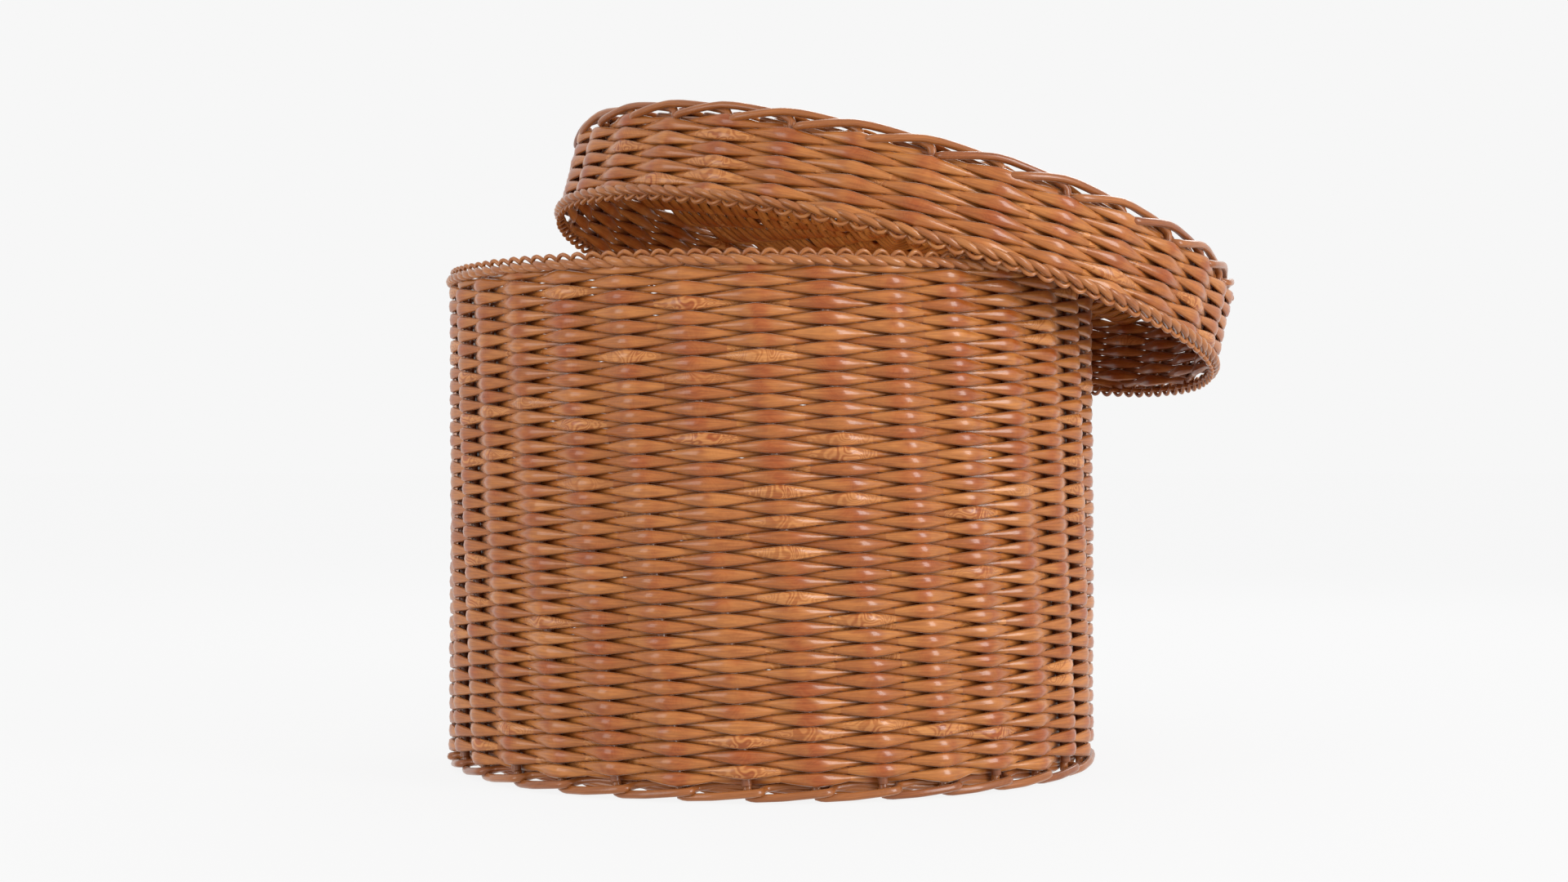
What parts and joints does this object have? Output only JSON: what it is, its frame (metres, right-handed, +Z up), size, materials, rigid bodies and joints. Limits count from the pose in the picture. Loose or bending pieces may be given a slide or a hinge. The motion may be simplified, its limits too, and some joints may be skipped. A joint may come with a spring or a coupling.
{
  "type": "lidded wicker basket",
  "caption": "Round straight-sided storage basket of varnished woven rods, with plaited rims and a loose cap lid leaning on its rim.",
  "frame": {"origin": "on the basket's axis, in the plane of the foot border's underside", "axes": "+Z up along the basket's axis; +X towards the side that the lid leans over; -Y towards the viewer"},
  "size_m": [0.4951, 0.4531, 0.4003],
  "materials": {
    "weavers": "varnished",
    "braid": "varnished",
    "border_rods": "varnished",
    "stakes": "varnished"
  },
  "bodies": {
    "basket": {"base_slath_lower": "stakes", "base_slath_upper": "stakes", "base_spokes": "stakes", "base_bye_spokes": "stakes", "base_weave_inner": "weavers", "base_weave_middle": "weavers", "base_weave_outer": "weavers", "side_stakes": "stakes", "foot_border": "border_rods", "side_weave_01": "weavers", "side_weave_02": "weavers", "side_weave_03": "weavers", "side_weave_04": "weavers", "side_weave_05": "weavers", "side_weave_06": "weavers", "side_weave_07": "weavers", "side_weave_08": "weavers", "side_weave_09": "weavers", "side_weave_10": "weavers", "rim_braid": "braid"},
    "lid": {"lid_panel_slath_lower": "stakes", "lid_panel_slath_upper": "stakes", "lid_panel_spokes": "stakes", "lid_panel_bye_spokes": "stakes", "lid_panel_weave_inner": "weavers", "lid_panel_weave_middle": "weavers", "lid_panel_weave_outer": "weavers", "lid_side_stakes": "stakes", "lid_top_border": "border_rods", "lid_side_weave_01": "weavers", "lid_side_weave_02": "weavers", "lid_rim_braid": "braid"}
  },
  "joints": [
    {"name": "lid_lift", "type": "slide", "parent": "basket", "child": "lid", "axis": [0, 0, 1], "range_m": [0, 0.35]}
  ]
}
